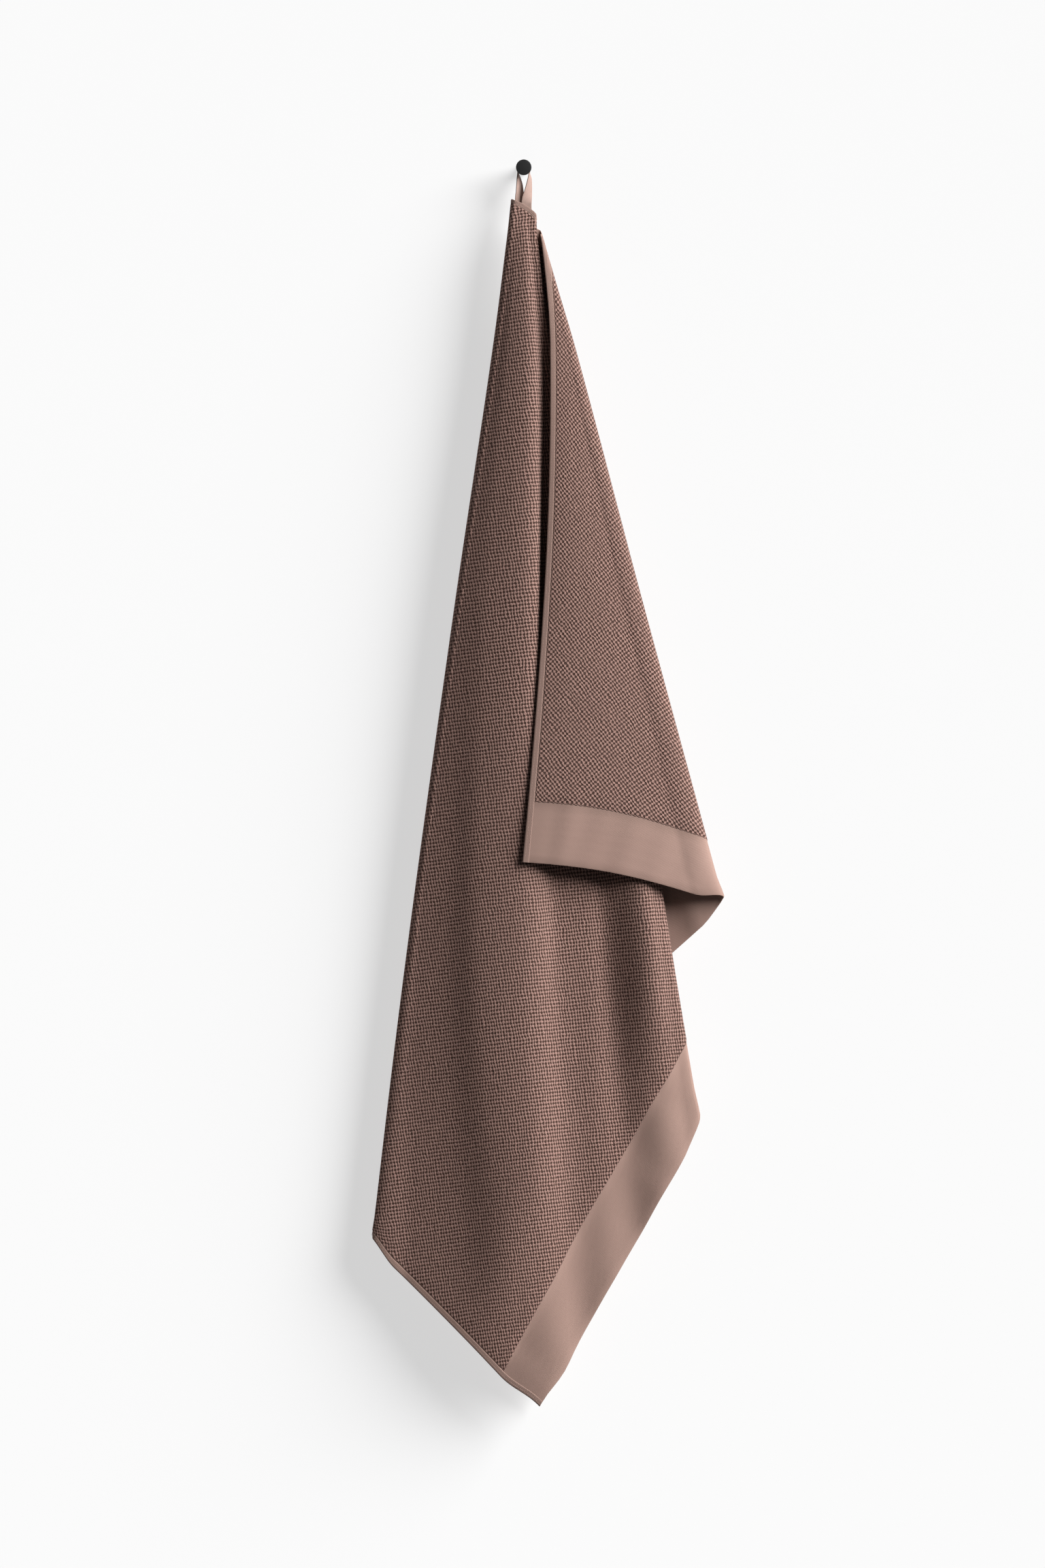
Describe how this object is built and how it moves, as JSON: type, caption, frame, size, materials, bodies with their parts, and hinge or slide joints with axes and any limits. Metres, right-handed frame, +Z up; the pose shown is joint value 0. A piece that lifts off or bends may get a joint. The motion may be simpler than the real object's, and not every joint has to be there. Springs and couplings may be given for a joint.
{
  "type": "bath sheet on a wall peg hook",
  "caption": "Textured terry bath sheet with flat woven end borders, hung in folds by its tape loop from a plain round wall peg.",
  "frame": {"origin": "centre of the peg's flat back face, on the wall", "axes": "+X right as seen from the room, +Y into the wall along the peg, +Z up"},
  "size_m": [0.4004, 0.0851, 1.4112],
  "materials": {
    "terry_cloth": "taupe brown textured cotton terry with smooth twill borders",
    "loop_tape": "taupe brown cotton twill tape",
    "peg_black": "matt black"
  },
  "bodies": {
    "root": {"towel": "terry_cloth", "hanging_loop": "loop_tape", "peg": "peg_black"}
  },
  "joints": []
}
